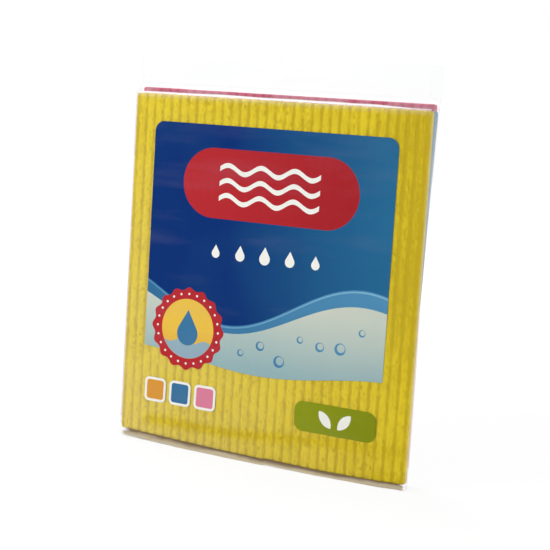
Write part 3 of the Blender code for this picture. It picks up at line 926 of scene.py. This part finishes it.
def arc(center, radius, start, end, steps):
    angles = [radians(start + (end - start) * step / steps) for step in range(steps + 1)]
    return [around(center, radius, angle) for angle in angles]


def circle(center, radius, steps):
    return arc(center, radius, 0, 360, steps)[:-1]


def rounded_box(center, width, height, radius, steps):
    reach_x = width / 2 - radius
    reach_z = height / 2 - radius
    points = []
    for turn, (side_x, side_z) in enumerate(((1, 1), (-1, 1), (-1, -1), (1, -1))):
        middle = (center[0] + side_x * reach_x, center[1] + side_z * reach_z)
        points += arc(middle, radius, 90 * turn, 90 * turn + 90, steps)
    return points


def turned(points, center, degrees):
    turn = Matrix.Rotation(radians(degrees), 2)
    middle = Vector(center)
    return [tuple(middle + turn @ (Vector(point) - middle)) for point in points]


def drop(center, radius, steps):
    """A water drop: most of a circle that runs up to a point two radii above the middle."""
    tip = (center[0], center[1] + 2 * radius)
    return arc(center, radius, 150, 390, steps) + [tip]


def leaf(center, length, width, degrees):
    """Two equal arcs that meet in points at both ends."""
    half = length / 2
    bulge = width / 2
    radius = (half * half + bulge * bulge) / (2 * bulge)
    reach = math.degrees(math.asin(half / radius))
    upper = arc((center[0], center[1] - radius + bulge), radius, 90 - reach, 90 + reach, 12)
    lower = arc((center[0], center[1] + radius - bulge), radius, 270 - reach, 270 + reach, 12)
    return turned(upper[:-1] + lower[:-1], center, degrees)


def scalloped_disc(center, radius, lobes, rise):
    steps = 8 * lobes
    angles = [2 * pi * step / steps for step in range(steps)]
    return [around(center, radius + rise * cos(lobes * angle), angle) for angle in angles]


def ribbon(center, length, width, rise, waves, steps):
    """A band with waves in it, of even height."""
    middle = []
    for share in [step / steps for step in range(steps + 1)]:
        z = center[1] + rise * sin(2 * pi * waves * share)
        middle.append((center[0] + (share - 0.5) * length, z))
    return [(x, z + width / 2) for x, z in middle] + [(x, z - width / 2) for x, z in middle[::-1]]


def wave_height(x):
    return WAVE_LEVEL + WAVE_RISE * sin(2 * pi * (x - WAVE_SHIFT) / WAVE_LENGTH)


def stripe_bottom(x):
    swell = 1 + 0.4 * sin(2 * pi * (x - WAVE_SHIFT) / WAVE_LENGTH)
    return wave_height(x) - STRIPE_WIDTH * swell


def pool_bottom(x):
    return WAVE_LEVEL - STRIPE_WIDTH - POOL_DEPTH - POOL_RISE * cos(2 * pi * x / WAVE_LENGTH)


def below_wave(distance):
    return lambda x: wave_height(x) - distance


def print_columns():
    return [PRINT_REACH * (2 * step / PRINT_STEPS - 1) for step in range(PRINT_STEPS + 1)]


def band_outline(top, bottom, overlap=0.0):
    """The field between two curves over the whole width of the print, grown by an overlap."""
    upper = [(x, top(x) + overlap) for x in print_columns()]
    lower = [(x, bottom(x) - overlap) for x in reversed(print_columns())]
    return upper + lower


def navy_outline():
    """Straight on three sides with rounded upper corners, and a wave below."""
    reach = PRINT_REACH - PRINT_CORNER_RADIUS
    level = PRINT_TOP - PRINT_CORNER_RADIUS
    right = arc((reach, level), PRINT_CORNER_RADIUS, 0, 90, 10)
    left = arc((-reach, level), PRINT_CORNER_RADIUS, 90, 180, 10)
    return right + left + [(x, wave_height(x)) for x in print_columns()]


# Print fields: rows of layer, ink and outline, where a higher layer covers a lower one

def large_fields():
    return [
        (1, "ink_navy", navy_outline()),
        (1, "ink_aqua", band_outline(stripe_bottom, pool_bottom)),
        (2, "ink_blue", band_outline(wave_height, stripe_bottom, STRIPE_OVERLAP)),
        (2.5, "ink_glow", band_outline(below_wave(GLOW_START), below_wave(GLOW_END))),
    ]


def pill_fields():
    level = PRINT_TOP - PILL_DROP
    pill = rounded_box((0, level), PILL_WIDTH, PILL_HEIGHT, 0.499 * PILL_HEIGHT, 24)
    places = [(0, level + LINE_SPACING * (index - (LINES - 1) / 2)) for index in range(LINES)]
    lines = [ribbon(place, LINE_LENGTH, LINE_WIDTH, LINE_RISE, 3, 72) for place in places]
    return [(2, "ink_red", pill)] + [(3, "ink_white", line) for line in lines]


def drop_fields():
    fields = []
    for index in range(DROPS):
        from_middle = index - (DROPS - 1) / 2
        place = (DROP_SPACING * from_middle, PRINT_TOP - DROP_ROW)
        radius = DROP_RADIUS * (1 - 0.12 * abs(from_middle))
        fields.append((2, "ink_white", drop(place, radius, 24)))
    return fields


def bubble_fields():
    fields = []
    start = BADGE_INSET + BADGE_RADIUS - PRINT_REACH + BUBBLE_SPACING
    for index in range(BUBBLES):
        x = start + BUBBLE_SPACING * index
        z = (stripe_bottom(x) + pool_bottom(x)) / 2 + 0.006 * sin(2.4 * index)
        radius = BUBBLE_RADIUS * (0.6 + 0.2 * (index % 3))
        inside = (x + 0.15 * radius, z + 0.15 * radius)
        fields.append((2, "ink_blue", circle((x, z), radius, 36)))
        fields.append((3, "ink_aqua", circle(inside, 0.7 * radius, 28)))
    return fields


def badge_fields():
    center = (BADGE_INSET - PRINT_REACH, BADGE_LEVEL)
    fields = [
        (3, "ink_red", scalloped_disc(center, BADGE_RADIUS, BADGE_LOBES, BADGE_LOBE_RISE)),
        (4, "ink_yellow", circle(center, BADGE_FACE_RADIUS, 72)),
    ]
    for index in range(BADGE_DOTS):
        angle = 2 * pi * index / BADGE_DOTS
        place = around(center, (BADGE_RADIUS + BADGE_FACE_RADIUS) / 2, angle)
        fields.append((4, "ink_white", circle(place, BADGE_DOT_RADIUS, 10)))
    water = arc(center, BADGE_FACE_RADIUS - 0.0001, 205, 335, 40)
    (left, level), right = water[0], water[-1][0]
    for share in [step / RIPPLE_STEPS for step in range(1, RIPPLE_STEPS)]:
        water.append((right + (left - right) * share, level + RIPPLE_RISE * sin(4 * pi * share)))
    fields.append((5, "ink_water", water))
    radius = 0.4 * BADGE_FACE_RADIUS
    fields.append((6, "ink_blue", drop((center[0], center[1] - 0.4 * radius), radius, 36)))
    return fields


def swatch_fields():
    fields = []
    for index, ink in enumerate(("ink_yellow", "ink_blue", "ink_rose")):
        center = (SWATCH_INSET - PRINT_REACH + SWATCH_SPACING * index, TAG_LEVEL)
        inner = SWATCH_SIZE - 2 * SWATCH_BORDER
        border_line = rounded_box(center, SWATCH_SIZE, SWATCH_SIZE, 2 * SWATCH_BORDER, 8)
        fields.append((1, "ink_white", border_line))
        fields.append((2, ink, rounded_box(center, inner, inner, SWATCH_BORDER, 8)))
    return fields


def tag_fields():
    center = (PRINT_REACH - TAG_INSET, TAG_LEVEL)
    fields = [(1, "ink_green", rounded_box(center, TAG_WIDTH, TAG_HEIGHT, 0.3 * TAG_HEIGHT, 12))]
    for side in (-1, 1):
        place = (center[0] + 0.35 * side * TAG_HEIGHT, center[1])
        fields.append((2, "ink_white", leaf(place, 0.7 * TAG_HEIGHT, 0.33 * TAG_HEIGHT, 90 - 40 * side)))
    return fields


def fold_outline():
    """The folded film on the front, from the floor to the lower edge of the front cloth."""
    places = np.linspace(FRONT_RIGHT, FRONT_LEFT, 120)
    return [(FRONT_LEFT, 0), (FRONT_RIGHT, 0)] + [(u, fold_level(u)) for u in places]


def all_fields():
    fields = large_fields() + pill_fields() + drop_fields() + bubble_fields()
    fields += badge_fields() + swatch_fields() + tag_fields()
    placed = [(layer, ink, [(x + PRINT_X, z) for x, z in outline]) for layer, ink, outline in fields]
    # The folded film, which carries painted shadow, goes under all the print
    placed.append((0, "folded_film_painted_shadow", fold_outline()))
    return sorted(placed, key=lambda field: field[0])


# Film mesh

def inside(outline, x, z):
    """Which of many places lie in an outline, by counting the edges to their right."""
    found = np.zeros(len(x), bool)
    for (x1, z1), (x2, z2) in zip(outline, outline[1:] + outline[:1]):
        crossing = (z1 > z) != (z2 > z)
        reach = x1 + (x2 - x1) * (z - z1) / ((z2 - z1) or 1e-12)
        found ^= crossing & (x < reach)
    return found


def film_columns():
    """Places along the girth: fine on the front, a few on each side, coarser on the back."""
    front_step = RIB_PITCH / FRONT_GRID[0]
    count = round((FRONT_RIGHT - FRONT_LEFT) / front_step)
    front = np.linspace(FRONT_LEFT, FRONT_RIGHT, count + 1)
    arcs = [CORNER_RUN * share for share in ARC_SHARES]
    flats = list(np.linspace(CORNER_RUN, SIDE_RUN - CORNER_RUN, SIDE_STEPS + 1))[1:]
    side = np.array(arcs + flats + [SIDE_RUN - CORNER_RUN * (1 - share) for share in ARC_SHARES])
    back_count = round(BACK_RUN / 2 / (RIB_PITCH / BACK_GRID[0]))
    back = SIDE_RUN + np.linspace(0, BACK_RUN / 2, back_count + 1)[1:]
    return front, side, back


def film_rows(step):
    """Heights of rows: even over the body, close over the shoulder, even again on the header."""
    foot = list(np.linspace(0, 1.12 * FOOT_HEIGHT, 9))
    body = list(np.arange(foot[-1] + step, CLOTH_TOP - 0.0007, step))
    shoulder = list(np.linspace(CLOTH_TOP - 0.0004, PINK_TOP, 16))
    header = list(np.linspace(PINK_TOP, HEADER_TOP, 18))[1:]
    return foot + body + shoulder + header


def flat_points():
    front, side, back = film_columns()
    points = [(u, z) for z in film_rows(FRONT_GRID[1]) for u in front]
    for reach, row_step in ((side, FRONT_GRID[1]), (back, BACK_GRID[1])):
        for z in film_rows(row_step):
            points += [(FRONT_RIGHT + u, z) for u in reach]
            points += [(FRONT_LEFT - u, z) for u in reach]
    return points


def finely_cut(outline):
    """The outline with further points, so that it follows the relief of the film."""
    points = []
    for start, end in zip(outline, outline[1:] + outline[:1]):
        pieces = max(1, math.ceil(math.dist(start, end) / OUTLINE_STEP))
        points += [Vector(start).lerp(Vector(end), index / pieces) for index in range(pieces)]
    return points


def away_from(points, taken):
    """The points that keep clear of those already taken."""
    tree = kdtree.KDTree(len(taken))
    for index, point in enumerate(taken):
        tree.insert(point.to_3d(), index)
    tree.balance()
    return [point for point in points if tree.find(point.to_3d())[2] > OUTLINE_CLEARANCE]


def flat_film(fields):
    """The flat sleeve as triangles, cut along the outlines of the print."""
    points = []
    edges = []
    for _, _, outline in fields:
        start = len(points)
        points += finely_cut(outline)
        count = len(points) - start
        edges += [(start + index, start + (index + 1) % count) for index in range(count)]
    points += away_from([Vector(point) for point in flat_points()], points)
    made = delaunay_2d_cdt(points, edges, [], 0, 1e-7)
    places = np.array([tuple(point) for point in made[0]])
    return places, np.array([list(face) for face in made[2]])


def field_numbers(fields, places, faces):
    """The number of the topmost field at each triangle, or -1 on clear film."""
    middles = places[faces].mean(axis=1)
    numbers = np.full(len(faces), -1)
    for number, (_, _, outline) in enumerate(fields):
        numbers[inside(outline, middles[:, 0], middles[:, 1])] = number
    return numbers


def add_values(piece, **layers):
    """Keep named values at the points of a mesh, for its material to read."""
    for name, values in layers.items():
        layer = piece.data.attributes.new(name, "FLOAT", "POINT")
        layer.data.foreach_set("value", np.asarray(values, np.float32))


def close_back(shape):
    """Join the two edges of the flat sleeve, which meet on the back."""
    rim = [vert for vert in shape.verts if vert.is_boundary]
    bmesh.ops.remove_doubles(shape, verts=rim, dist=1e-6)


def add_film_skin():
    fields = all_fields()
    flat, faces = flat_film(fields)
    u, z = flat[:, 0], flat[:, 1]
    x, y, out_x, out_y = wrap_film(u, z)
    relief = film_relief(u, x, z)
    points = np.stack([x + out_x * relief, y + out_y * relief + header_sway(x, z), z], 1)
    inks = new_inks()
    inks["folded_film_painted_shadow"] = folded_film_material()
    names = list(inks)
    numbers = field_numbers(fields, flat, faces)
    indices = np.array([0 if number < 0 else 1 + names.index(fields[number][1]) for number in numbers])
    clear = film_material("clear_film", *CLEAR_FILM)
    skin = new_piece("film_skin", points, faces.tolist(), [clear] + list(inks.values()), indices)
    add_values(skin, veil=film_veil(u, x, z), shine=film_shine(u, z))
    add_values(skin, glare=shoulder_glare(x, z) * on_front(u), fold=fold_veil(u, z), rise=z / fold_level(u))
    change_mesh(skin, close_back)
    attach(skin, "root")
    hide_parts("film_wrap")


# Folds of film

def add_strip(name, columns, rows, place, material):
    """A grid of film whose places come from a function of two shares, across and up."""
    shares = [(column / columns, row / rows) for row in range(rows + 1) for column in range(columns + 1)]
    points = [place(*pair) for pair in shares]
    piece = new_piece(name, points, grid_faces(rows + 1, columns + 1, 0), [material])
    add_values(piece, veil=[1] * len(points), shine=[1] * len(points))
    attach(piece, "root")


def add_back_seam():
    top = CLOTH_TOP - 0.0015

    def place(across, up):
        z = SEAM_BOTTOM + (top - SEAM_BOTTOM) * up
        sway = 0.0004 * noise.noise(Vector((0.3, z * 30, 5)))
        x = SEAM_OFFSET + SEAM_WIDTH * (0.5 - across) + sway
        ripple = 0.00010 * noise.noise(Vector((x * 90, z * 60, 9)))
        lift = SEAM_LIFT + 0.0002 * abs(2 * across - 1) ** 6
        return (x, BACK_Y + lift + ripple, z)

    crimp = film_material("film_seam", *SEAM_FILM, crimp_lines(0, SEAM_CRIMP))
    add_strip("film_seam", 16, 110, place, crimp)


def add_bottom_flap():
    half = CLOTH_WIDTH / 2 - FLAP_MARGIN

    def place(across, up):
        taper = 1 - 0.05 * up
        x = half * (1 - 2 * across) * taper
        wave = 0.0004 * noise.noise(Vector((x * 40, 0.2, 3)))
        z = FOOT_HEIGHT + 0.0006 + (FLAP_HEIGHT + wave) * up
        ripple = 0.00012 * noise.noise(Vector((x * 110, z * 120, 4)))
        return (x, BACK_Y + FLAP_LIFT + ripple + 0.0002 * up ** 3, z)

    crimp = film_material("film_flap", *FLAP_FILM, crimp_lines(2, FLAP_CRIMP))
    add_strip("film_flap", 96, 16, place, crimp)


def add_base_film():
    """The film under the pack, folded across its lower edge."""
    half = CLOTH_WIDTH / 2

    def place(across, deep):
        x = YELLOW_X + half * (2 * across - 1)
        front = FRONT_Y + foot_shape(x, 0)
        y = front * (1 - deep) + (BACK_Y - BACK_FOOT_INSET) * deep
        fold = abs(noise.noise(Vector((x * 60, y * 260, 8))))
        return (x, y, BASE_LIFT + BASE_RIPPLE * fold * sin(pi * deep))

    add_strip("film_base", 60, 8, place, film_material("film_base", *BASE_FILM))


# Light, floor and camera

def add_world():
    """Plain soft light, and white for what looks at the background straight, mirrored or through."""
    world = bpy.data.worlds.new("plain_light")
    world.use_nodes = True
    tree = world.node_tree
    tree.nodes.clear()
    seen = ray_share(tree, "Is Camera Ray", "Is Glossy Ray", "Is Transmission Ray")
    plain = output(tree, "Background", {"Color": PURE_WHITE, "Strength": AMBIENT})
    white = output(tree, "Background", {"Color": PURE_WHITE, "Strength": 1.0})
    add_node(tree, "OutputWorld", {"Surface": blend_shader(tree, seen, plain, white)})
    bpy.context.scene.world = world


def floor_material():
    """White floor: plain paint for the light, and mostly glow with a faint shadow where it is seen."""
    material, tree = empty_material("floor_white")
    paint = output(tree, "BsdfDiffuse", {"Color": FLOOR_COLOR})
    thin_paint = output(tree, "BsdfDiffuse", {"Color": FLOOR_SEEN})
    away = output(tree, "VectorMath", {0: object_place(tree)}, "Value", operation="LENGTH")
    strength = map_range(tree, away, *FLOOR_FADE, FLOOR_GLOW, FLOOR_GLOW_FAR)
    glow = output(tree, "Emission", {"Color": PURE_WHITE, "Strength": strength})
    both = output(tree, "AddShader", {0: thin_paint, 1: glow})
    seen = ray_share(tree, "Is Camera Ray", "Is Glossy Ray")
    return finished(material, blend_shader(tree, seen, paint, both))


def add_floor():
    half = FLOOR_SIZE / 2
    corners = [(-half, -half, 0), (half, -half, 0), (half, half, 0), (-half, half, 0)]
    floor = new_piece("floor", corners, [(0, 1, 2, 3)], [floor_material()])


def add_lamp(name, place, size, power):
    data = bpy.data.lights.new(name, "AREA")
    data.shape = "SQUARE"
    data.size = size
    data.energy = power
    lamp = add_object(name, data)
    lamp.location = place
    aim = Vector(LAMP_AIM) - Vector(place)
    lamp.rotation_euler = aim.to_track_quat("-Z", "Y").to_euler()


def add_camera():
    data = bpy.data.cameras.new("camera")
    data.lens = CAMERA_LENS
    camera = add_object("camera", data)
    flat = cos(CAMERA_ELEVATION)
    back = Vector((sin(CAMERA_AZIMUTH) * flat, -cos(CAMERA_AZIMUTH) * flat, sin(CAMERA_ELEVATION)))
    right = Vector((cos(CAMERA_AZIMUTH), sin(CAMERA_AZIMUTH), 0))
    level = Matrix((right, back.cross(right), back)).transposed()
    turn = level @ Matrix.Rotation(CAMERA_ROLL, 3, "Z")
    camera.matrix_world = Matrix.Translation(Vector(CAMERA_AIM) + back * CAMERA_DISTANCE) @ turn.to_4x4()
    bpy.context.scene.camera = camera


add_camera()
add_world()
add_floor()
for lamp in LAMPS:
    add_lamp(*lamp)
add_cloths()
add_film_skin()
add_back_seam()
add_bottom_flap()
add_base_film()
bpy.context.scene.view_settings.view_transform = "Standard"
